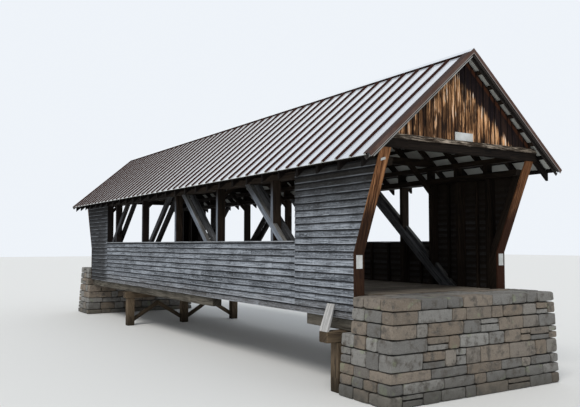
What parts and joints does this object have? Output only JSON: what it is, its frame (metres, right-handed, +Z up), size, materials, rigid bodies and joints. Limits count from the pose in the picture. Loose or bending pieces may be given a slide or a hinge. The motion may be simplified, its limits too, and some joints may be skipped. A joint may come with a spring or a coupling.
{
  "type": "covered timber bridge",
  "caption": "Covered timber truss bridge with clapboard walls, long side windows, open portals and a ribbed metal gable roof on timber bents.",
  "frame": {"origin": "on the ground under the middle of the bridge", "axes": "+X along the roadway towards the front portal, +Y across it, +Z up"},
  "size_m": [22.8, 5.95, 7.5386],
  "materials": {
    "roof_metal": "satin",
    "gable_board": "weathered",
    "jamb_board": "stained",
    "painted_plate": "matte",
    "stone": "rough",
    "weathered_siding": "weathered",
    "wet_timber": "rough sawn",
    "pale_plank": "weathered",
    "deck_timber": "worn",
    "frame_timber": "rough sawn"
  },
  "bodies": {
    "root": {"back_abutment": "stone", "back_bolsters": "wet_timber", "back_gable": "gable_board", "back_portal_beam": "frame_timber", "back_rake_boards": "frame_timber", "back_rake_trim": "roof_metal", "deck": "deck_timber", "floor_beams": "deck_timber", "floor_ledgers": "deck_timber", "front_abutment": "stone", "front_bent_cap": "wet_timber", "front_bent_legs": "wet_timber", "front_bent_struts": "wet_timber", "front_bolsters": "wet_timber", "front_gable": "gable_board", "front_portal_beam": "frame_timber", "front_rake_boards": "frame_timber", "front_rake_trim": "roof_metal", "left_back_jamb": "jamb_board", "left_back_siding": "weathered_siding", "left_bottom_chord": "frame_timber", "left_braces": "frame_timber", "left_end_posts": "frame_timber", "left_front_jamb": "jamb_board", "left_front_siding": "weathered_siding", "left_knee_braces": "frame_timber", "left_low_siding": "weathered_siding", "left_plate": "frame_timber", "left_posts": "frame_timber", "left_purlins": "frame_timber", "left_rafters": "frame_timber", "left_roof": "roof_metal", "left_sill": "weathered_siding", "left_studs": "frame_timber", "left_top_chord": "frame_timber", "markers": "painted_plate", "notice_board": "painted_plate", "ridge_cap": "roof_metal", "right_back_jamb": "jamb_board", "right_back_siding": "weathered_siding", "right_bottom_chord": "frame_timber", "right_braces": "frame_timber", "right_end_posts": "frame_timber", "right_front_jamb": "jamb_board", "right_front_siding": "weathered_siding", "right_knee_braces": "frame_timber", "right_low_siding": "weathered_siding", "right_plate": "frame_timber", "right_posts": "frame_timber", "right_purlins": "frame_timber", "right_rafters": "frame_timber", "right_roof": "roof_metal", "right_sill": "weathered_siding", "right_studs": "frame_timber", "right_top_chord": "frame_timber", "river_bent_cap": "wet_timber", "river_bent_legs": "wet_timber", "river_bent_struts": "wet_timber", "stays": "pale_plank", "tie_beams": "frame_timber"}
  },
  "joints": []
}
